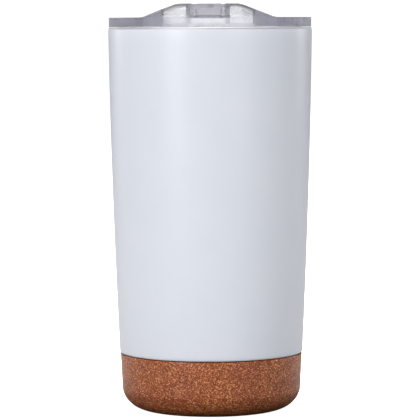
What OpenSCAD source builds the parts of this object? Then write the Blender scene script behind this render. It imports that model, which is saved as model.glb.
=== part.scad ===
// Vacuum-insulated travel tumbler with a cork foot and a push-in clear lid with a sliding closure.
// Millimetres. +Z is up, the origin is the centre of the foot on the table, and the drinking side faces -Y.

/* [Cup] */
// Outer diameter of the steel cup at its mouth
mouth_d = 88; // [80:0.5:96]
// Height of the steel lip above the table
cup_h = 165.5; // [140:0.5:200]
// Outer diameter of the coated shell at its lower edge
shoulder_d = 79.3; // [78:0.1:84]
// How far the side bulges out past a straight cone, at mid height
barrel = 0.6; // [0:0.1:1]
// Thickness of the steel sheet
sheet_t = 0.5; // [0.4:0.1:0.8]
// Radial gap between shell and liner along the body
vacuum_gap = 3.4; // [2.5:0.1:4]
// Depth of the straight bore that takes the lid's plug
bore_depth = 15.5; // [15:0.5:18]
// Thickness of the rolled lip
lip_t = 0.9; // [0.7:0.1:1.2]

/* [Cork foot] */
// Height of the cork above the table
cork_h = 24.7; // [20:0.1:30]
// Outer diameter of the cork at its top edge
cork_top_d = 78.8; // [77:0.1:79]
// Outer diameter of the cork where its bottom rounding starts
cork_low_d = 77.4; // [76.5:0.1:78]
// Width of the bottom rounding
round_w = 12; // [6:0.5:12.5]
// Height of the bottom rounding
round_h = 10.3; // [6:0.1:11]
// Thickness of the cork under the steel
cork_floor = 8; // [7.5:0.1:9]
// Thickness of the cork around the steel
cork_wall = 3; // [2.8:0.1:3.5]

/* [Lid] */
// Thickness of the lid's flange
flange_t = 4.15; // [3.5:0.05:5]
// Height of the lid's ridge above the underside of the flange
ridge_h = 9.85; // [9.5:0.05:12]
// Half width of the ridge's flat top
crown_half = 11.3; // [10.8:0.1:13]
// Slope of the ridge's flanks, in degrees
flank_angle = 21.3; // [20:0.1:26]
// Radius of the rounding at the top of the flanks
crown_r = 11; // [8:1:18]
// Radius of the hollow at the foot of the flanks
foot_r = 9; // [8:1:15]
// Thickness of the clear plastic walls
skin = 1.4; // [1.2:0.1:2]
// Thickness of the disc that closes the mouth
disc_t = 3.8; // [2:0.1:4]
// Width of the hollow under the ridge
tunnel_w = 37; // [34:0.2:42]
// Width of the bevelled drinking lip
lip_w = 38.8; // [36:0.2:44]
// Height of the drinking lip's edge, above the underside of the flange
lip_edge_h = 4.85; // [4.4:0.05:5.4]
// Depth of the plug below the flange
plug_depth = 13; // [11:0.5:14]
// Thickness of the plug's wall
plug_wall = 2.4; // [2:0.1:2.8]

/* [Slider] */
// Width of the slider's channel
channel_w = 14.4; // [13:0.2:17]
// Thickness of the channel's floor
channel_floor = 1.3; // [1.2:0.1:1.6]
// Depth of the channel below the top of the ridge
channel_depth = 4.75; // [4.6:0.05:5]
// Length of the slider
slider_l = 34; // [30:0.5:36]
// How far the slider moves to open
slider_travel = 14; // [12:0.5:15]
// Width of the drinking hole
hole_w = 11; // [9:0.2:11.4]
// Length of the drinking hole
hole_l = 6.2; // [5:0.1:6.6]
// Number of grip ribs on the slider
rib_count = 6; // [3:1:7]

/* [Hidden] */
$fn = 96;
eps = 0.01;

// Cup
mouth_r = mouth_d / 2;
shoulder_r = shoulder_d / 2;
seam = 0.3;
shoulder_z = cork_h + seam;
shoulder_round = 0.9;
spigot_r = cork_top_d / 2 - cork_wall;
pad_t = 0.4;
spigot_bottom_z = cork_floor + pad_t;
lip_step = 3.6;
bore_r = mouth_r - lip_step;
bore_bottom_z = cup_h - bore_depth;
lip_inset = 0.2;
lip_r = mouth_r - lip_inset;
lip_round = 0.35;
lip_z = cup_h - lip_t;
neck_h = 5;
liner_neck_z = bore_bottom_z - neck_h;
foot_gap = 1.7;
liner_foot_r = spigot_r - sheet_t - foot_gap - sheet_t;
neck_drop = 0.1;
liner_floor_z = 17.5;
liner_corner_r = 6;
side_steps = 8;

// Base of the vacuum space
plate_z = spigot_bottom_z;
plate_skirt_h = 4.6;
plate_r = spigot_r - sheet_t;
dimple_r = 10;
dimple_depth = 1.5;
dimple_slope = 1;
port_r = 1.2;
cover_rim = 0.9;
cover_r = dimple_r + dimple_slope + cover_rim;
cover_t = 0.3;
pad_edge = 4;
pad_r = spigot_r - pad_edge;
pad_hole_r = cover_r + 0.6;
getter_r = 5;
getter_t = 2;
getter_y = 12;
getter_z = 14.5;
clip_t = 0.3;
clip_w = 4;
clip_tab = 3.5;

// Cork
cork_top_r = cork_top_d / 2;
cork_low_r = cork_low_d / 2;
cork_chamfer = 0.4;
cork_play = 0.05;

// Lid. Its own heights count from the underside of the flange.
lid_z = cup_h + 0.1;
flange_inset = 0.3;
flange_r = mouth_r - flange_inset;
arc_steps = 5;
lip_slope = 45;
pocket_floor = 1.5;
plug_gap = 0.8;
plug_r = bore_r - plug_gap;
plug_in_r = plug_r - plug_wall;
groove_top = -5.5;
groove_bottom = -9.5;
groove_depth = 1.1;
groove_r = plug_r - groove_depth;
plug_lead = 0.8;
vent_r = 1;
vent_y = 30;

// Slider
channel_z = ridge_h - channel_depth;
channel_wall = 1.9;
channel_front_y = -36.2;
stop_play = 0.5;
channel_back_y = channel_front_y + slider_l + slider_travel + stop_play;
housing_half = channel_w / 2 + channel_wall;
web_back_y = -22;
web_root = 0.2;
hole_inset = 1.6;
hole_front_y = channel_front_y + hole_inset;
hole_corner_r = 2;
groove_play = 0.1;
tongue_lift = 1.3;
tongue_z = channel_z + tongue_lift;
tongue_h = 1;
tongue_w = 0.7;
tongue_setback = 2;
side_play = 0.2;
slider_w = channel_w - 2 * side_play;
slider_mid_y = channel_front_y + slider_l / 2;
slider_lift = 0.3;
slider_under = channel_z + slider_lift;
slider_recess = 0.2;
slider_top = ridge_h - slider_recess;
slider_roof = 1.9;
slider_wall = 1.4;
slider_corner_r = 1;
rib_h = 0.3;
rib_w = 0.9;
rib_pitch = 2.4;
rib_inset = 2;
rib_root = 0.1;
seal_gap = 0.05;
seal_play = 0.05;
gasket_play = 0.05;

// ---------------------------------------------------------------- shapes

// Outer radius of the coated shell at height z: a cone with a slight bulge.
function side_r(z) =
    let (t = (z - shoulder_z) / (cup_h - shoulder_z))
    shoulder_r + (mouth_r - shoulder_r) * t + barrel * 4 * t * (1 - t);

// Points along the shell's side, moved inwards, from z0 up to z1.
function side_points(z0, z1, inward) =
    [for (i = [0 : side_steps]) let (z = z0 + (z1 - z0) * i / side_steps) [side_r(z) - inward, z]];

// Points of an arc about a centre, from angle a to angle b.
function arc(centre, r, a, b, steps) =
    [for (i = [0 : steps]) let (t = a + (b - a) * i / steps) centre + r * [cos(t), sin(t)]];

// Right half of the ridge's front outline: flat top, round shoulder, flank and round foot.
function flank_points() =
    let (
        s = flank_angle,
        shoulder_end = [crown_half + crown_r * sin(s), ridge_h - crown_r * (1 - cos(s))],
        foot_start_z = flange_t + foot_r * (1 - cos(s)),
        foot_start_x = shoulder_end[0] + (shoulder_end[1] - foot_start_z) / tan(s),
        foot_end_x = foot_start_x + foot_r * sin(s)
    )
    concat(
        arc([crown_half, ridge_h - crown_r], crown_r, 90, 90 - s, arc_steps),
        arc([foot_end_x, flange_t + foot_r], foot_r, 270 - s, 270, arc_steps)
    );

// A bar with the ridge's outline, long enough to cross the lid from front to back.
module ridge_bar(bottom) {
    right = flank_points();
    last = len(right) - 1;
    left = [for (i = [last : -1 : 0]) [-right[i][0], right[i][1]]];
    foot = right[last][0];
    rotate([90, 0, 0])
        linear_extrude(2 * mouth_d, center = true)
            polygon(concat(left, right, [[foot, bottom], [-foot, bottom]]));
}

// A rectangle with round corners, centred, made of squares and circles.
module round_rect(w, l, r) {
    square([w - 2 * r, l], center = true);
    square([w, l - 2 * r], center = true);
    for (x = [-1, 1], y = [-1, 1])
        translate([x * (w / 2 - r), y * (l / 2 - r)]) circle(r);
}

// A block given by its two corners.
module block(low, high) {
    translate(low) cube(high - low);
}

// What the drinking lip's bevel takes off, moved inwards by inset. It follows the round rim.
module lip_bevel(w, inset) {
    drop = inset / cos(lip_slope);
    over = 2;
    reach = (ridge_h + over - lip_edge_h + drop) / tan(lip_slope);
    intersection() {
        rotate_extrude()
            polygon([
                [flange_r + over, lip_edge_h - drop - over * tan(lip_slope)],
                [flange_r + over, ridge_h + over],
                [flange_r - reach, ridge_h + over]
            ]);
        block([-w / 2, -flange_r - over, 0], [w / 2, 0, ridge_h + over]);
    }
}

// ---------------------------------------------------------------- cup

// Coated outer wall, stepped in at the bottom to a bare spigot for the cork.
module outer_shell() {
    outside = concat(
        [[spigot_r, spigot_bottom_z], [spigot_r, shoulder_z]],
        arc([side_r(shoulder_z) - shoulder_round, shoulder_z + shoulder_round], shoulder_round, -90, 0, 4),
        side_points(shoulder_z + shoulder_round + 1, lip_z, 0)
    );
    inside = concat(
        side_points(shoulder_z + sheet_t + shoulder_round, lip_z, sheet_t),
        [[side_r(shoulder_z) - shoulder_round - sheet_t, shoulder_z + sheet_t]],
        [[spigot_r - sheet_t, shoulder_z + sheet_t], [spigot_r - sheet_t, spigot_bottom_z]]
    );
    n = side_steps;
    up = [for (i = [n : -1 : 0]) inside[i]];
    down = [for (i = [n + 1 : len(inside) - 1]) inside[i]];
    color([0.86, 0.88, 0.92])
        rotate_extrude() polygon(concat(outside, up, down));
}

// Drinking vessel: rolled lip, straight bore for the plug, long taper and a round-cornered floor.
module inner_liner() {
    corner_centre = [liner_foot_r - liner_corner_r, liner_floor_z + liner_corner_r];
    inside = concat(
        [[0, liner_floor_z]],
        arc(corner_centre, liner_corner_r, -90, 0, 6),
        [
            [side_r(liner_neck_z) - 2 * sheet_t - vacuum_gap, liner_neck_z],
            [bore_r, bore_bottom_z],
            [bore_r, cup_h - lip_round],
            [bore_r + lip_round, cup_h]
        ]
    );
    outside = concat(
        [
            [lip_r - lip_round, cup_h],
            [lip_r, cup_h - lip_round],
            [lip_r, lip_z],
            [bore_r + sheet_t, lip_z],
            [bore_r + sheet_t, bore_bottom_z - neck_drop],
            [side_r(liner_neck_z) - sheet_t - vacuum_gap, liner_neck_z - neck_drop]
        ],
        arc(corner_centre, liner_corner_r + sheet_t, 0, -90, 6),
        [[0, liner_floor_z - sheet_t]]
    );
    color([0.75, 0.76, 0.78])
        rotate_extrude() polygon(concat(inside, outside));
}

// Pressed disc that closes the shell, with a dimple and the evacuation port in its middle.
module base_plate() {
    t = sheet_t;
    color([0.7, 0.71, 0.73])
        rotate_extrude()
            polygon([
                [port_r, plate_z + dimple_depth],
                [dimple_r, plate_z + dimple_depth],
                [dimple_r + dimple_slope, plate_z],
                [plate_r, plate_z],
                [plate_r, plate_z + plate_skirt_h],
                [plate_r - t, plate_z + plate_skirt_h],
                [plate_r - t, plate_z + t],
                [dimple_r + dimple_slope + t / 2, plate_z + t],
                [dimple_r + t / 2, plate_z + dimple_depth + t],
                [port_r, plate_z + dimple_depth + t]
            ]);
}

// Bead of sealing glass that fills the port and spreads under it.
module vacuum_seal() {
    under = plate_z + dimple_depth;
    color([0.32, 0.36, 0.4])
        rotate_extrude()
            polygon([
                [0, under - 0.8],
                [1.6, under - 0.7],
                [2.6, under - 0.35],
                [2.9, under],
                [port_r, under],
                [port_r, under + sheet_t],
                [0, under + sheet_t]
            ]);
}

// Thin steel disc that covers the dimple and the port.
module port_cover() {
    color([0.78, 0.79, 0.8])
        translate([0, 0, plate_z - cover_t]) cylinder(r = cover_r, h = cover_t);
}

// Pressed getter pill that soaks up stray gas in the vacuum space.
module getter() {
    color([0.45, 0.44, 0.42])
        translate([0, getter_y, getter_z]) cylinder(r = getter_r, h = getter_t, $fn = 48);
}

// Spring-steel strap that holds the getter to the underside of the liner.
module getter_clip() {
    tab_end = getter_r + clip_tab;
    leg = getter_r + clip_t;
    half = clip_w / 2;
    low = getter_z - clip_t;
    high = liner_floor_z - sheet_t;
    color([0.66, 0.67, 0.7])
        translate([0, getter_y, 0]) {
            block([-leg, -half, low], [leg, half, getter_z]);
            for (s = [-1, 1])
                scale([s, 1, 1]) {
                    block([getter_r, -half, low], [leg, half, high]);
                    block([getter_r, -half, high - clip_t], [tab_end, half, high]);
                }
        }
}

// Moulded cork cup glued over the spigot.
module cork_base() {
    round_points = [
        for (i = [0 : 8]) let (a = -90 + 90 * i / 8)
            [cork_low_r - round_w + round_w * cos(a), round_h + round_h * sin(a)]
    ];
    color([0.66, 0.4, 0.22])
        rotate_extrude()
            polygon(concat(
                [[0, 0]],
                round_points,
                [
                    [cork_top_r, cork_h - cork_chamfer],
                    [cork_top_r - cork_chamfer, cork_h],
                    [spigot_r + cork_play, cork_h],
                    [spigot_r + cork_play, cork_floor],
                    [0, cork_floor]
                ]
            ));
}

// Double-sided pad between the cork and the steel base, with a hole for the port's cover.
module adhesive_pad() {
    color([0.92, 0.9, 0.82])
        translate([0, 0, cork_floor])
            difference() {
                cylinder(r = pad_r, h = pad_t);
                translate([0, 0, -pad_t]) cylinder(r = pad_hole_r, h = 3 * pad_t);
            }
}

// ---------------------------------------------------------------- lid

// Flange, plug and ridge as one solid, with the drinking lip bevelled off.
module lid_block() {
    difference() {
        union() {
            cylinder(r = flange_r, h = flange_t);
            translate([0, 0, -plug_depth]) cylinder(r = plug_r, h = plug_depth + 1);
            intersection() {
                ridge_bar(1);
                cylinder(r = flange_r, h = ridge_h + 1);
            }
        }
        lip_bevel(lip_w, 0);
    }
}

// Hollow under the lid: inside of the plug, and the tunnel under the ridge from front to back.
module lid_hollow() {
    translate([0, 0, -plug_depth - 1])
        cylinder(r = plug_in_r, h = plug_depth + 1 + flange_t - disc_t);
    difference() {
        intersection() {
            union() {
                translate([0, 0, pocket_floor]) cylinder(r = flange_r - skin, h = ridge_h);
                cylinder(r = plug_in_r, h = ridge_h);
            }
            translate([0, 0, -skin]) ridge_bar(0);
            block([-tunnel_w / 2, -flange_r, 0], [tunnel_w / 2, flange_r, ridge_h]);
        }
        lip_bevel(tunnel_w + 2, skin);
    }
}

// Walls and floor of the slider's channel, and the two upright webs that carry its front end.
module channel_housing() {
    web_low = pocket_floor - web_root;
    block(
        [-housing_half, -flange_r, channel_z - channel_floor],
        [housing_half, channel_back_y + channel_wall, ridge_h]
    );
    for (s = [-1, 1])
        scale([s, 1, 1])
            block([channel_w / 2, -flange_r, web_low], [housing_half, web_back_y, channel_z]);
}

// Everything cut for the slider: channel, tongue grooves and drinking hole.
module channel_cut() {
    groove_half = slider_w / 2 + tongue_w + side_play;
    block([-channel_w / 2, -flange_r - 1, channel_z], [channel_w / 2, channel_back_y, ridge_h + 2]);
    block(
        [-groove_half, channel_front_y + tongue_setback, tongue_z - groove_play],
        [groove_half, channel_back_y, tongue_z + tongue_h + groove_play]
    );
    translate([0, hole_front_y + hole_l / 2, channel_z - channel_floor - 1])
        linear_extrude(channel_floor + 2) round_rect(hole_w, hole_l, hole_corner_r);
}

// Groove for the seal and the lead-in at the end of the plug.
module plug_cut() {
    groove_h = groove_top - groove_bottom;
    translate([0, 0, groove_bottom])
        difference() {
            cylinder(r = plug_r + 1, h = groove_h);
            translate([0, 0, -1]) cylinder(r = groove_r, h = groove_h + 2);
        }
    rotate_extrude()
        polygon([
            [plug_r - plug_lead, -plug_depth - eps],
            [plug_r + eps, -plug_depth + plug_lead],
            [plug_r + 1, -plug_depth - eps]
        ]);
}

// Clear moulding: flange, ridge with the drinking lip and the slider's channel, and the plug.
module lid_body() {
    color([0.8, 0.82, 0.86, 0.4])
        translate([0, 0, lid_z])
            difference() {
                union() {
                    difference() {
                        lid_block();
                        lid_hollow();
                    }
                    intersection() {
                        lid_block();
                        channel_housing();
                    }
                }
                channel_cut();
                plug_cut();
                translate([0, vent_y, 0]) cylinder(r = vent_r, h = ridge_h + 1, $fn = 32);
            }
}

// Soft ring with two lips that grips the bore.
module lid_gasket() {
    low = groove_bottom + gasket_play;
    high = groove_top - gasket_play;
    mid = (low + high) / 2;
    back = groove_r + gasket_play;
    lip = bore_r - gasket_play;
    waist = plug_r + 0.1;
    tip = 0.12;
    lip_rise = 1.1;
    lip_drop = 0.4;
    color([0.9, 0.9, 0.9, 0.6])
        translate([0, 0, lid_z])
            rotate_extrude()
                polygon([
                    [back, low],
                    [plug_r, low],
                    [lip - tip, low + lip_rise],
                    [lip, low + lip_rise + 2 * tip],
                    [waist, mid - tip],
                    [waist, mid + tip],
                    [lip - tip, high - lip_drop - 2 * tip],
                    [lip, high - lip_drop],
                    [plug_r, high],
                    [back, high]
                ]);
}

// Clear closure: a shell open below, with tongues in the grooves and grip ribs on top.
module slider() {
    half = slider_w / 2;
    rib_half = half - rib_inset;
    color([0.75, 0.78, 0.83, 0.5])
        translate([0, slider_mid_y, lid_z])
            difference() {
                union() {
                    translate([0, 0, slider_under])
                        linear_extrude(slider_top - slider_under)
                            round_rect(slider_w, slider_l, slider_corner_r);
                    block(
                        [-half - tongue_w, tongue_setback - slider_l / 2, tongue_z],
                        [half + tongue_w, slider_l / 2 - tongue_setback, tongue_z + tongue_h]
                    );
                    for (i = [0 : rib_count - 1])
                        translate([0, (i - (rib_count - 1) / 2) * rib_pitch, slider_top])
                            block([-rib_half, -rib_w / 2, -rib_root], [rib_half, rib_w / 2, rib_h]);
                }
                translate([0, 0, slider_under - 1])
                    linear_extrude(slider_top - slider_roof - slider_under + 1)
                        round_rect(slider_w - 2 * slider_wall, slider_l - 2 * slider_wall, slider_corner_r);
            }
}

// Silicone pad in the underside of the slider, pressed on the drinking hole.
module slider_seal() {
    low = channel_z + seal_gap;
    w = slider_w - 2 * slider_wall - 2 * seal_play;
    l = slider_l - 2 * slider_wall - 2 * seal_play;
    color([0.9, 0.9, 0.92, 0.7])
        translate([0, slider_mid_y, lid_z + low])
            linear_extrude(slider_top - slider_roof - low) round_rect(w, l, slider_corner_r);
}

outer_shell();
inner_liner();
base_plate();
vacuum_seal();
port_cover();
getter();
getter_clip();
cork_base();
adhesive_pad();
lid_body();
lid_gasket();
slider();
slider_seal();
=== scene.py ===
"""An insulated travel tumbler with a cork foot and a clear sliding lid, in a plain studio.

Lengths are in metres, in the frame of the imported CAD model: +Z up, the foot on z = 0 and
the drinking lip towards -Y.
"""
import math

import bmesh
import bpy
from mathutils import Matrix, Vector, noise


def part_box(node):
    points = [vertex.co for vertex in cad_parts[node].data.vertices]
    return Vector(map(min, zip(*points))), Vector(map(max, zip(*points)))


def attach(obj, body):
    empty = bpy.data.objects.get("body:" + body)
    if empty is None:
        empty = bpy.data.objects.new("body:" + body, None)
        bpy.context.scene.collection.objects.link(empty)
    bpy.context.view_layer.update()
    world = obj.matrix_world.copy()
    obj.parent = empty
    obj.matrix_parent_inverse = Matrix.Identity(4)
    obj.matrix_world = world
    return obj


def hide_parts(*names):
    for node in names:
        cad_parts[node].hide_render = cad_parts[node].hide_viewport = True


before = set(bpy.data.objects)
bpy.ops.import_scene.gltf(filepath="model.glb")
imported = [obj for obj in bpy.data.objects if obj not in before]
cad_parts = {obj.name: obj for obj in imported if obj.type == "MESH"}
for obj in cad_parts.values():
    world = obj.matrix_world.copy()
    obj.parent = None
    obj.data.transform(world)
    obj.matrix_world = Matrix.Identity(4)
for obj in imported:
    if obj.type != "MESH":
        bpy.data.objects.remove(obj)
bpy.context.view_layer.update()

MM = 0.001
ROUND = 192                       # segments round a turned piece
FINE_ROUND = 432                  # segments round the cork, whose surface is carved
SHARP_ANGLE = math.radians(35)    # edges of turned pieces that stay sharp
noise.seed_set(7)


# ---------------------------------------------------------------- sizes

def sides(node):
    """Radius or half width, lowest and highest z of a CAD node."""
    low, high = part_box(node)
    return (high.x - low.x) / 2, low.z, high.z


_, shell_low, shell_high = sides("outer_shell")
liner_r, _, liner_high = sides("inner_liner")
cork_r, cork_low, cork_high = sides("cork_base")
_, _, lid_high = sides("lid_body")

SHEET = 0.5 * MM             # steel sheet
FINE_CORNER = 0.1 * MM       # rounding of a cut edge
SOFT_CORNER = 0.2 * MM       # rounding of a pressed inner corner
LIP = 0.9 * MM               # height of the rolled lip
LIP_ROUND = 0.4 * MM
MOUTH_R = 44 * MM            # coated shell at the height of the lip
BARREL = 0.6 * MM            # bulge of the side at mid height
SHOULDER_R = 39.65 * MM      # lower edge of the coated shell
SHOULDER_Z = 25 * MM
SHOULDER_ROUND = 0.9 * MM
SPIGOT_R = 36.4 * MM         # bare step that the cork sits on

BORE_R = 40.4 * MM           # straight bore of the mouth
BORE_DEPTH = 15.5 * MM
NECK_DEPTH = 5 * MM          # from the end of the bore to the start of the taper
NECK_ROUND = 4 * MM
VACUUM_GAP = 3.4 * MM        # between the two walls at the neck
FOOT_GAP = 1.7 * MM          # between the two walls at the foot
LINER_FOOT_R = SPIGOT_R - 2 * SHEET - FOOT_GAP
LINER_FLOOR = 17.5 * MM
LINER_CORNER = 6 * MM

CORK_LOW_R = 38.7 * MM       # where the rounding of the foot meets the wall
CORK_ROUND_W = 12 * MM       # the rounding is a quarter of an ellipse
CORK_ROUND_H = 10.3 * MM
CORK_FLOOR = 8 * MM
CORK_EDGE = 0.4 * MM         # rounding of the upper edge
CORK_EDGE_IN = 0.15 * MM     # the middle of that rounding, from the side
CORK_EDGE_DOWN = 0.12 * MM   # and from the top
CORK_BORE_R = SPIGOT_R + 0.05 * MM

LUMP_SIZE = 2.2 * MM         # soft unevenness of the cork's skin
LUMP_DEPTH = 0.03 * MM
LUMP_LEVEL = 0.6             # the skin is cut where the noise is below this
LUMP_NOISE = (0.8, 2.0, 3)   # dimension, lacunarity and octaves
PIT_SIZE = 1.3 * MM          # small open pits between the granules
PIT_DEPTH = 0.2 * MM
PIT_LEVEL = 0.5              # a pit opens where the noise is above this
CARVE_LOW = 5 * MM           # the skin is smooth up to this height
CARVE_FADE = 8 * MM          # height over which the carving then sets in
CARVE_EDGE_FADE = 1 * MM     # height over which it ends below the upper edge
CARVE_MARGIN = 0.1 * MM      # points this close to the bore are left alone


# ---------------------------------------------------------------- mesh helpers

ON_AXIS = 1e-7               # a radius below this is a pole
MOST_OF_SIDE = 0.49          # how much of a side one rounded corner may take up


def mesh_object(name, bm):
    """Turns a bmesh into a smooth-shaded object whose sharp edges stay sharp."""
    bmesh.ops.recalc_face_normals(bm, faces=bm.faces)
    for face in bm.faces:
        face.smooth = True
    for edge in bm.edges:
        if len(edge.link_faces) == 2 and edge.calc_face_angle() > SHARP_ANGLE:
            edge.smooth = False
    mesh = bpy.data.meshes.new(name)
    bm.to_mesh(mesh)
    bm.free()
    piece = bpy.data.objects.new(name, mesh)
    bpy.context.scene.collection.objects.link(piece)
    return piece


def fillet(points, radii, steps=5):
    """Rounds the corners of a closed outline. A radius of 0 keeps the corner."""
    out = []
    count = len(points)
    for i, (point, radius) in enumerate(zip(points, radii)):
        here = Vector(point)
        if radius <= 0:
            out.append(here)
            continue
        back = Vector(points[i - 1]) - here
        ahead = Vector(points[(i + 1) % count]) - here
        half = back.angle(ahead) / 2
        reach = min(radius / math.tan(half), MOST_OF_SIDE * back.length,
                    MOST_OF_SIDE * ahead.length)
        start = here + back.normalized() * reach
        end = here + ahead.normalized() * reach
        for k in range(steps + 1):
            t = k / steps
            out.append((1 - t) ** 2 * start + 2 * t * (1 - t) * here + t ** 2 * end)
    return out


def lathe(name, outline, segments=ROUND):
    """Turns a closed outline of (radius, z) points round the Z axis.

    A point on the axis becomes a pole.
    """
    bm = bmesh.new()
    turn = [2 * math.pi * k / segments for k in range(segments)]
    rings = []
    for r, z in outline:
        if r < ON_AXIS:
            rings.append([bm.verts.new((0, 0, z))])
        else:
            rings.append([bm.verts.new((r * math.cos(a), r * math.sin(a), z)) for a in turn])
    for i, ring in enumerate(rings):
        below = rings[i - 1]
        for k in range(segments):
            corners = [below[k % len(below)], below[(k + 1) % len(below)],
                       ring[(k + 1) % len(ring)], ring[k % len(ring)]]
            unique = list(dict.fromkeys(corners))
            if len(unique) > 2:
                bm.faces.new(unique)
    return mesh_object(name, bm)


# ---------------------------------------------------------------- material helpers

MIX_FACTOR, MIX_A, MIX_B = 0, 6, 7     # input sockets of a Mix node that mixes colours
MIX_RESULT = 2                         # its output socket


def new_material(name, **sockets):
    """A material with one Principled shader. Returns the material, its node tree and the shader."""
    mat = bpy.data.materials.new(name)
    mat.use_nodes = True
    tree = mat.node_tree
    shader = tree.nodes["Principled BSDF"]
    for key, value in sockets.items():
        shader.inputs[key.replace("_", " ")].default_value = value
    return mat, tree, shader


def node(tree, kind, inputs=None, **props):
    """A shader node with its properties and inputs set.

    An input may be a value or another node's socket.
    """
    made = tree.nodes.new("ShaderNode" + kind)
    for key, value in props.items():
        setattr(made, key, value)
    for key, value in (inputs or {}).items():
        if isinstance(value, bpy.types.NodeSocket):
            tree.links.new(value, made.inputs[key])
        else:
            made.inputs[key].default_value = value
    return made


def millimetres(tree, stretch=(1, 1, 1)):
    """Object coordinates in millimetres."""
    coordinates = node(tree, "TexCoord").outputs["Object"]
    scale = [s / MM for s in stretch]
    return node(tree, "Mapping", {"Vector": coordinates, "Scale": scale}).outputs["Vector"]


def fractal(tree, at, scale, detail, roughness=0.5):
    """A noise texture's level."""
    inputs = {"Vector": at, "Scale": scale, "Detail": detail, "Roughness": roughness}
    return node(tree, "TexNoise", inputs).outputs["Fac"]


def ramp(tree, factor, stops):
    """A colour ramp. stops is a list of (position, grey or colour)."""
    made = node(tree, "ValToRGB", {"Fac": factor})
    elements = made.color_ramp.elements
    while len(elements) < len(stops):
        elements.new(0.5)
    for element, (position, colour) in zip(elements, stops):
        rgb = (colour,) * 3 if isinstance(colour, float) else colour
        element.position = position
        element.color = (*rgb, 1)
    return made.outputs["Color"]


def spread(tree, value, low, high, from_low=0.0, from_high=1.0):
    """Maps a value from one range to another, and keeps it inside."""
    inputs = {"Value": value, "From Min": from_low, "From Max": from_high,
              "To Min": low, "To Max": high}
    return node(tree, "MapRange", inputs).outputs["Result"]


def blend_colours(tree, factor, first, second, mode="MIX"):
    """Mixes two colours, each a value or another node's socket."""
    made = node(tree, "Mix", {MIX_FACTOR: factor}, data_type="RGBA", blend_type=mode)
    for index, colour in ((MIX_A, first), (MIX_B, second)):
        if isinstance(colour, bpy.types.NodeSocket):
            tree.links.new(colour, made.inputs[index])
        else:
            made.inputs[index].default_value = (*colour, 1)
    return made.outputs[MIX_RESULT]


def bump(tree, height, strength, distance, under=None):
    """A bump from a height field, on top of another bump if one is given."""
    made = node(tree, "Bump", {"Height": height, "Strength": strength, "Distance": distance})
    if under is not None:
        tree.links.new(under, made.inputs["Normal"])
    return made.outputs["Normal"]


# ---------------------------------------------------------------- materials

STEEL_TINT = (0.68, 0.69, 0.72)
STEEL_DARK = tuple(0.88 * c for c in STEEL_TINT)      # the darker of its fine lines
SATIN_DEPTH = 2 * MM         # the lip turns satin from this far below its top
SATIN = 0.25                 # roughness that this adds

GRANULES = [(0.0, (0.11, 0.018, 0.008)), (0.3, (0.27, 0.058, 0.015)),
            (0.6, (0.39, 0.104, 0.03)), (0.85, (0.56, 0.19, 0.065)), (1.0, (0.95, 0.48, 0.22))]
FLECK = (0.04, 0.012, 0.006)

CLEAR_ALPHA = 0.6            # of clear plastic: the rest of the light goes straight through
HAZE = 0.03                  # milky part of clear plastic, and three times this in its clouds
SCRATCHED = 0.08             # roughness that handling scratches add to it


def powder_coat():
    """Satin white powder coat: fine orange peel, faint mottling and a slightly uneven gloss."""
    mat, tree, shader = new_material("powder_coat", IOR=1.5)
    at = millimetres(tree)
    peel = fractal(tree, at, 1.6, 3.0, 0.6)
    grain = fractal(tree, at, 6.0, 2.0)
    cloud = fractal(tree, at, 0.05, 2.0)
    colour = ramp(tree, cloud, [(0.3, (0.735, 0.768, 0.838)), (0.7, (0.755, 0.783, 0.848))])
    tree.links.new(colour, shader.inputs["Base Color"])
    tree.links.new(spread(tree, peel, 0.27, 0.33), shader.inputs["Roughness"])
    low = bump(tree, peel, 0.25, 0.05 * MM)
    tree.links.new(bump(tree, grain, 0.15, 0.02 * MM, low), shader.inputs["Normal"])
    return mat


def brushed_steel():
    """Stainless steel with fine lines round the axis, and a satin lip."""
    mat, tree, shader = new_material("brushed_steel", Metallic=1.0)
    coordinates = node(tree, "TexCoord").outputs["Object"]
    parts = node(tree, "SeparateXYZ", {"Vector": coordinates}).outputs
    angle = node(tree, "Math", {0: parts["Y"], 1: parts["X"]}, operation="ARCTAN2")
    flat = node(tree, "CombineXYZ", {"X": parts["X"], "Y": parts["Y"]})
    radius = node(tree, "VectorMath", {0: flat.outputs["Vector"]}, operation="LENGTH")
    across = node(tree, "Math", {0: radius.outputs["Value"], 1: parts["Z"]}, operation="ADD")
    line = node(tree, "CombineXYZ", {"X": angle.outputs["Value"], "Y": across.outputs["Value"]})
    long_and_fine = (2.0, 9.0 / MM, 1.0)
    at = node(tree, "Mapping", {"Vector": line.outputs["Vector"], "Scale": long_and_fine})
    lines = fractal(tree, at.outputs["Vector"], 1.0, 4.0)
    colour = ramp(tree, lines, [(0.3, STEEL_DARK), (0.7, STEEL_TINT)])
    tree.links.new(colour, shader.inputs["Base Color"])
    near_lip = spread(tree, parts["Z"], 0, SATIN, liner_high - SATIN_DEPTH, liner_high - LIP)
    gloss = spread(tree, lines, 0.28, 0.48)
    satin = node(tree, "Math", {0: gloss, 1: near_lip}, operation="ADD")
    tree.links.new(satin.outputs["Value"], shader.inputs["Roughness"])
    tree.links.new(bump(tree, lines, 0.15, 0.02 * MM), shader.inputs["Normal"])
    return mat


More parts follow.
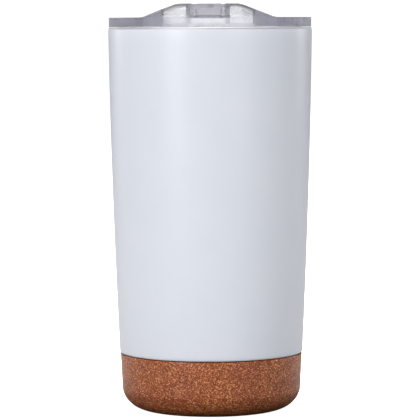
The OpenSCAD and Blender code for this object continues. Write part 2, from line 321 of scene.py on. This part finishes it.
def cork():
    """Moulded cork: pressed granules in several browns, dark flecks and a satin seal coat."""
    mat, tree, shader = new_material("cork", IOR=1.45, Coat_Weight=0.5, Coat_Roughness=0.3,
                                     Specular_IOR_Level=0.25)
    at = millimetres(tree)
    warp = node(tree, "TexNoise", {"Vector": at, "Scale": 2.0, "Detail": 3.0}).outputs["Color"]
    bent = node(tree, "VectorMath", {0: warp, 1: (0.5, 0.5, 0.5)}, operation="MULTIPLY")
    warped = node(tree, "VectorMath", {0: at, 1: bent.outputs["Vector"]}, operation="ADD")
    grains = node(tree, "TexVoronoi", {"Vector": warped.outputs["Vector"], "Scale": 2.7})
    tone = node(tree, "SeparateColor", {"Color": grains.outputs["Color"]}).outputs["Red"]
    dust = fractal(tree, at, 3.0, 4.0, 0.7)
    fine = ramp(tree, dust, [(0.3, 0.6), (0.5, 1.0), (0.72, 1.4)])
    dusty = blend_colours(tree, 0.85, ramp(tree, tone, GRANULES), fine, "MULTIPLY")
    patch = fractal(tree, at, 0.09, 3.0)
    cloud = ramp(tree, patch, [(0.32, (0.88, 0.78, 0.80)), (0.68, (1.12, 1.14, 1.08))])
    clouded = blend_colours(tree, 1.0, dusty, cloud, "MULTIPLY")
    flecks = node(tree, "TexVoronoi", {"Vector": at, "Scale": 0.9}).outputs["Distance"]
    in_fleck = ramp(tree, flecks, [(0.08, 0.8), (0.2, 0.0)])
    tree.links.new(blend_colours(tree, in_fleck, clouded, FLECK), shader.inputs["Base Color"])
    tree.links.new(spread(tree, dust, 0.42, 0.68), shader.inputs["Roughness"])
    seams = ramp(tree, grains.outputs["Distance"], [(0.0, 1.0), (0.75, 0.0)])
    low = bump(tree, seams, 0.35, 0.06 * MM)
    tree.links.new(bump(tree, dust, 0.3, 0.06 * MM, low), shader.inputs["Normal"])
    tree.links.new(bump(tree, dust, 0.1, 0.03 * MM), shader.inputs["Coat Normal"])
    return mat


def clear_plastic(name, tint, absorb, density, rough):
    """Clear moulded plastic with a faint tint and haze, flow marks and fine handling scratches.

    Part of the light goes straight through, so that thick edges don't turn black.
    """
    mat, tree, shader = new_material(name, IOR=1.5, Alpha=CLEAR_ALPHA,
                                     Base_Color=(*tint, 1))
    flow_at = millimetres(tree, (1.0, 0.25, 1.0))
    flow = fractal(tree, flow_at, 0.2, 3.0)
    wear = fractal(tree, flow_at, 3.0, 5.0, 0.7)
    cloud = fractal(tree, millimetres(tree, (1.0, 1.0, 2.0)), 0.25, 4.0)
    clearness = ramp(tree, cloud, [(0.42, 1.0 - 3 * HAZE), (0.6, 1.0 - HAZE)])
    tree.links.new(clearness, shader.inputs["Transmission Weight"])
    worn = ramp(tree, wear, [(0.45, rough), (0.75, rough + SCRATCHED)])
    tree.links.new(worn, shader.inputs["Roughness"])
    tree.links.new(bump(tree, flow, 0.35, 0.3 * MM), shader.inputs["Normal"])
    volume = node(tree, "VolumeAbsorption", {"Color": (*absorb, 1), "Density": density})
    tree.links.new(volume.outputs["Volume"], tree.nodes["Material Output"].inputs["Volume"])
    return mat


def silicone(name, clear, alpha):
    """Translucent milky silicone with a dusty matte skin."""
    mat, tree, shader = new_material(name, IOR=1.41, Alpha=alpha, Transmission_Weight=clear)
    dust = fractal(tree, millimetres(tree), 1.5, 4.0, 0.65)
    colour = ramp(tree, dust, [(0.35, (0.82, 0.83, 0.84)), (0.65, (0.9, 0.9, 0.91))])
    tree.links.new(colour, shader.inputs["Base Color"])
    tree.links.new(spread(tree, dust, 0.42, 0.62), shader.inputs["Roughness"])
    tree.links.new(bump(tree, dust, 0.2, 0.05 * MM), shader.inputs["Normal"])
    return mat


def speckled(name, dark, light, rough, scale=2.0, metallic=0.0):
    """A two-tone speckle with a fine bump, for the hidden pieces."""
    mat, tree, shader = new_material(name, Metallic=metallic)
    grain = fractal(tree, millimetres(tree), scale, 5.0, 0.7)
    colour = ramp(tree, grain, [(0.35, dark), (0.65, light)])
    tree.links.new(colour, shader.inputs["Base Color"])
    tree.links.new(spread(tree, grain, rough - 0.1, rough + 0.1), shader.inputs["Roughness"])
    tree.links.new(bump(tree, grain, 0.3, 0.05 * MM), shader.inputs["Normal"])
    return mat


def paint(piece, mat):
    """Gives a piece its one material."""
    piece.data.materials.clear()
    piece.data.materials.append(mat)


def place(piece, mat, body, slot_name, *nodes):
    """Paints a new piece, puts it on its body and lets it stand for its CAD nodes."""
    paint(piece, mat)
    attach(piece, body)
    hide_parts(*nodes)


# ---------------------------------------------------------------- cup

def side_radius(z):
    """Outer radius of the coated shell at height z."""
    t = (z - SHOULDER_Z) / (shell_high + LIP - SHOULDER_Z)
    return SHOULDER_R + (MOUTH_R - SHOULDER_R) * t + BARREL * 4 * t * (1 - t)


def outer_shell():
    """Coated wall with a rolled-in lower edge, and the bare spigot below it."""
    steps = 24
    low = SHOULDER_Z + 2 * SHOULDER_ROUND
    heights = [low + (shell_high - low) * i / steps for i in range(steps + 1)]
    outside = [(side_radius(z), z) for z in heights]
    inside = [(side_radius(z) - SHEET, z) for z in reversed(heights)]
    shoulder_r = side_radius(SHOULDER_Z)
    step = [(SPIGOT_R, shell_low), (SPIGOT_R, SHOULDER_Z), (shoulder_r, SHOULDER_Z)]
    step_radii = [0, SOFT_CORNER, SHOULDER_ROUND]
    rim_radii = [0] * steps + [FINE_CORNER, FINE_CORNER] + [0] * steps
    step_inside = [(shoulder_r - SHEET, SHOULDER_Z + SHEET),
                   (SPIGOT_R - SHEET, SHOULDER_Z + SHEET), (SPIGOT_R - SHEET, shell_low)]
    step_inside_radii = [SHOULDER_ROUND - SHEET, FINE_CORNER, 0]
    outline = step + outside + inside + step_inside
    return lathe("shell_skin", fillet(outline, step_radii + rim_radii + step_inside_radii))


def inner_liner():
    """Drawn vessel with a rolled lip, a straight bore, a long taper and a round-cornered floor."""
    bore_low = liner_high - BORE_DEPTH
    neck_z = liner_high - BORE_DEPTH - NECK_DEPTH
    neck_r = side_radius(neck_z) - 2 * SHEET - VACUUM_GAP
    corners = [                                                   # radius, z, rounding
        (0, LINER_FLOOR, 0),
        (LINER_FOOT_R, LINER_FLOOR, LINER_CORNER),
        (neck_r, neck_z, NECK_ROUND),
        (BORE_R, bore_low, NECK_ROUND),
        (BORE_R, liner_high, LIP_ROUND),
        (liner_r, liner_high, LIP_ROUND),
        (liner_r, liner_high - LIP, FINE_CORNER),
        (BORE_R + SHEET, liner_high - LIP, SOFT_CORNER),
        (BORE_R + SHEET, bore_low, NECK_ROUND),
        (neck_r + SHEET, neck_z, NECK_ROUND),
        (LINER_FOOT_R + SHEET, LINER_FLOOR - SHEET, LINER_CORNER + SHEET),
        (0, LINER_FLOOR - SHEET, 0),
    ]
    outline = [(r, z) for r, z, _ in corners]
    radii = [radius for _, _, radius in corners]
    return lathe("liner_skin", fillet(outline, radii, 8))


def carve(piece, wall_top):
    """Pits and dents the outside of the cork, from above the foot to just below the upper edge."""
    for vertex in piece.data.vertices:
        co = vertex.co
        radius = math.hypot(co.x, co.y)
        if radius < CORK_BORE_R + CARVE_MARGIN:
            continue
        from_foot = (co.z - CARVE_LOW) / CARVE_FADE
        from_edge = (wall_top - co.z) / CARVE_EDGE_FADE
        fade = max(0.0, min(1.0, from_foot, from_edge))
        lump = noise.fractal(co / LUMP_SIZE, *LUMP_NOISE)
        pit = max(0.0, noise.noise(co / PIT_SIZE) - PIT_LEVEL)
        depth = LUMP_DEPTH * (LUMP_LEVEL - lump) + PIT_DEPTH * pit
        outward = Vector((co.x, co.y, 0)) / radius
        vertex.co -= outward * max(depth, 0) * fade


def cork_base():
    """Cork cup with a carved, slightly pitted skin."""
    foot_rows = 10
    round_rows = 26
    wall_rows = 20
    centre_r = CORK_LOW_R - CORK_ROUND_W
    centre_z = cork_low + CORK_ROUND_H
    wall_top = cork_high - CORK_EDGE
    turn = [math.radians(-90 + 90 * i / round_rows) for i in range(round_rows + 1)]
    foot = [(centre_r * i / foot_rows, cork_low) for i in range(foot_rows)]
    rounding = [(centre_r + CORK_ROUND_W * math.cos(a), centre_z + CORK_ROUND_H * math.sin(a))
                for a in turn]
    wall = [(CORK_LOW_R + (cork_r - CORK_LOW_R) * i / wall_rows,
             centre_z + (wall_top - centre_z) * i / wall_rows)
            for i in range(1, wall_rows + 1)]
    edge = [(cork_r - CORK_EDGE_IN, cork_high - CORK_EDGE_DOWN),
            (cork_r - CORK_EDGE, cork_high)]
    inside = [(CORK_BORE_R, cork_high), (CORK_BORE_R, CORK_FLOOR), (0, CORK_FLOOR)]
    piece = lathe("cork_cup", foot + rounding + wall + edge + inside, FINE_ROUND)
    carve(piece, wall_top)
    return piece


# ---------------------------------------------------------------- lid

FLAT_ANGLE = math.radians(0.6)    # faces that differ by less are joined
EDGE_ANGLE = math.radians(38)     # edges sharper than this are rounded


def rounded_node(name, width, mat):
    """Keeps a CAD node's shape, and rounds its moulded edges with modifiers."""
    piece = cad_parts[name]
    flat = piece.modifiers.new("flat_faces", "DECIMATE")
    flat.decimate_type = "DISSOLVE"
    flat.angle_limit = FLAT_ANGLE
    edge = piece.modifiers.new("round_edges", "BEVEL")
    edge.width = width
    edge.segments = 2
    edge.limit_method = "ANGLE"
    edge.angle_limit = EDGE_ANGLE
    edge.use_clamp_overlap = False
    edge.harden_normals = True
    for polygon in piece.data.polygons:
        polygon.use_smooth = True
    paint(piece, mat)


# ---------------------------------------------------------------- build

steel = brushed_steel()
lid_plastic = clear_plastic("lid_plastic", tint=(0.99, 0.99, 1.0), absorb=(0.25, 0.24, 0.34),
                            density=23.0, rough=0.03)
slider_plastic = clear_plastic("slider_plastic", tint=(0.99, 0.98, 1.0),
                               absorb=(0.25, 0.22, 0.34), density=10.0, rough=0.12)
seal_rubber = silicone("silicone", clear=0.85, alpha=1.0)
white_rubber = silicone("white_silicone", clear=0.1, alpha=0.3)
seal_glass = speckled("seal_glass", (0.05, 0.07, 0.09), (0.1, 0.13, 0.16), 0.2)
getter_metal = speckled("getter_metal", (0.1, 0.1, 0.1), (0.22, 0.21, 0.2), 0.7, 4.0, 0.6)
adhesive = speckled("adhesive", (0.6, 0.57, 0.48), (0.78, 0.75, 0.66), 0.7)

place(outer_shell(), powder_coat(), "cup", "white_coat", "outer_shell")
place(inner_liner(), steel, "cup", "steel", "inner_liner")
place(cork_base(), cork(), "cup", "cork", "cork_base")
rounded_node("lid_body", 0.25 * MM, lid_plastic)
rounded_node("slider", 0.2 * MM, slider_plastic)
rounded_node("slider_seal", 0.2 * MM, white_rubber)
rounded_node("lid_gasket", 0.1 * MM, seal_rubber)
for hidden, mat in (("base_plate", steel), ("port_cover", steel), ("getter_clip", steel),
                    ("vacuum_seal", seal_glass), ("getter", getter_metal),
                    ("adhesive_pad", adhesive)):
    paint(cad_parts[hidden], mat)


# ---------------------------------------------------------------- studio

TABLE_R = 6.0                # metres
TABLE_DROP = 0.02 * MM       # keeps the table top clear of the foot's face
SHADE_MM = (42, 80)          # radii, in millimetres, between which the table gets lighter: painted shade round the foot
BOUNCE = (0.08, 0.32)        # the part of the light that it throws back at each
WHITE = (1.15, 1.15, 1.15)   # the wall behind the cup, as the camera sees it directly
LAMP_DISTANCE = 3.0          # metres

# name, azimuth and elevation in degrees, width and height in metres, power in watts
BODY_LAMPS = [
    ("key", -37, 15, 0.95, 1.5, 34),
    ("fill", 35, 15, 0.52, 1.5, 8.4),
    ("rim_left", -125, 15, 0.52, 1.5, 9.2),
    ("rim_right", 125, 15, 0.52, 1.5, 10.4),
    ("top", 0, 85, 2.0, 2.0, 195),
]
LID_LAMP = ("lid_sheen", -90, 72, 4.4, 4.4, 120)


def floor():
    """A wide pale table top. The camera sees it white, but it throws little light on the cup, and
    less still close to it: painted shade that darkens the cork's foot.
    """
    bm = bmesh.new()
    bmesh.ops.create_circle(bm, cap_ends=True, segments=96, radius=TABLE_R)
    piece = mesh_object("table_top", bm)
    piece.location.z = -TABLE_DROP
    mat, tree, shader = new_material("table_top", Roughness=0.9, Specular_IOR_Level=0.0,
                                     Emission_Color=(1, 1, 1, 1))
    seen = node(tree, "LightPath").outputs["Is Camera Ray"]
    at = millimetres(tree)
    white = ramp(tree, fractal(tree, at, 0.02, 2.0), [(0.3, 0.93), (0.7, 0.95)])
    from_cup = node(tree, "VectorMath", {0: at}, operation="LENGTH").outputs["Value"]
    # painted shade: bounced light sees the table darker close to the cup, so the cork's foot turns
    # darker
    bounce_with_painted_shade = spread(tree, from_cup, *BOUNCE, *SHADE_MM)
    tree.links.new(blend_colours(tree, seen, bounce_with_painted_shade, white), shader.inputs["Base Color"])
    tree.links.new(seen, shader.inputs["Emission Strength"])
    paint(piece, mat)


def surroundings():
    """A dim room. The camera sees white past the cup, and a bright streaked wall through the lid."""
    world = bpy.data.worlds.new("studio")
    bpy.context.scene.world = world
    world.use_nodes = True
    tree = world.node_tree
    direction = node(tree, "TexCoord").outputs["Generated"]
    up = node(tree, "SeparateXYZ", {"Vector": direction}).outputs["Z"]
    height = spread(tree, up, 0, 1, -1, 1)
    room = ramp(tree, height, [(0.0, 0.08), (0.47, 0.24), (0.56, 0.24), (0.66, 0.14), (1.0, 0.12)])
    even = ramp(tree, height, [(0.0, 0.9), (0.47, 1.0)])
    streak = fractal(tree, direction, 6.0, 3.0)
    tone = ramp(tree, streak, [(0.35, (0.75, 0.76, 0.8)), (0.6, (1.14, 1.14, 1.2))])
    wall = blend_colours(tree, 1.0, even, tone, "MULTIPLY")
    path = node(tree, "LightPath").outputs
    through = blend_colours(tree, path["Is Transmission Ray"], room, wall)
    seen = blend_colours(tree, path["Is Camera Ray"], through, WHITE)
    tree.links.new(seen, tree.nodes["Background"].inputs["Color"])


def softbox(name, azimuth, elevation, width, height, power):
    """An area light that faces the middle of the cup.

    Azimuth 0 is the camera's side, and 90 the right-hand side.
    """
    light = bpy.data.lights.new(name, "AREA")
    light.shape = "RECTANGLE"
    light.size = width
    light.size_y = height
    light.energy = power
    lamp = bpy.data.objects.new(name, light)
    bpy.context.scene.collection.objects.link(lamp)
    a = math.radians(azimuth)
    e = math.radians(elevation)
    away = Vector((math.sin(a) * math.cos(e), -math.cos(a) * math.cos(e), math.sin(e)))
    lamp.location = Vector((0, 0, lid_high / 2)) + away * LAMP_DISTANCE
    lamp.rotation_mode = "QUATERNION"
    lamp.rotation_quaternion = away.to_track_quat("Z", "Y")
    lamp.visible_camera = False
    lamp.visible_transmission = False
    return lamp


def link_lamps(lamps, pieces, state):
    """INCLUDE: the lamps light only these pieces. EXCLUDE: they light everything else."""
    group = bpy.data.collections.new(state.lower())
    for piece in pieces:
        group.objects.link(piece)
    for entry in group.collection_objects:
        entry.light_linking.link_state = state
    for lamp in lamps:
        lamp.light_linking.receiver_collection = group


def camera():
    """A long lens at the height of the rim, tilted down, a touch to the right of the lip."""
    data = bpy.data.cameras.new("camera")
    data.lens = 232.2
    data.sensor_width = 36
    data.clip_start = 0.05
    data.clip_end = 20
    eye = bpy.data.objects.new("camera", data)
    bpy.context.scene.collection.objects.link(eye)
    distance = 1.172
    azimuth = math.radians(1.15)
    tilt = math.radians(3.86)
    roll = math.radians(0.23)
    eye.location = Matrix.Rotation(azimuth, 3, "Z") @ Vector((0, -distance, liner_high))
    eye.rotation_mode = "XYZ"
    eye.rotation_euler = (math.radians(90) - tilt, roll, azimuth)
    bpy.context.scene.camera = eye


floor()
surroundings()
clear_pieces = [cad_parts["lid_body"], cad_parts["slider"]]
link_lamps([softbox(*row) for row in BODY_LAMPS], clear_pieces, "EXCLUDE")
link_lamps([softbox(*LID_LAMP)], clear_pieces, "INCLUDE")
camera()

view = bpy.context.scene.view_settings
view.view_transform = "Standard"
view.look = "None"
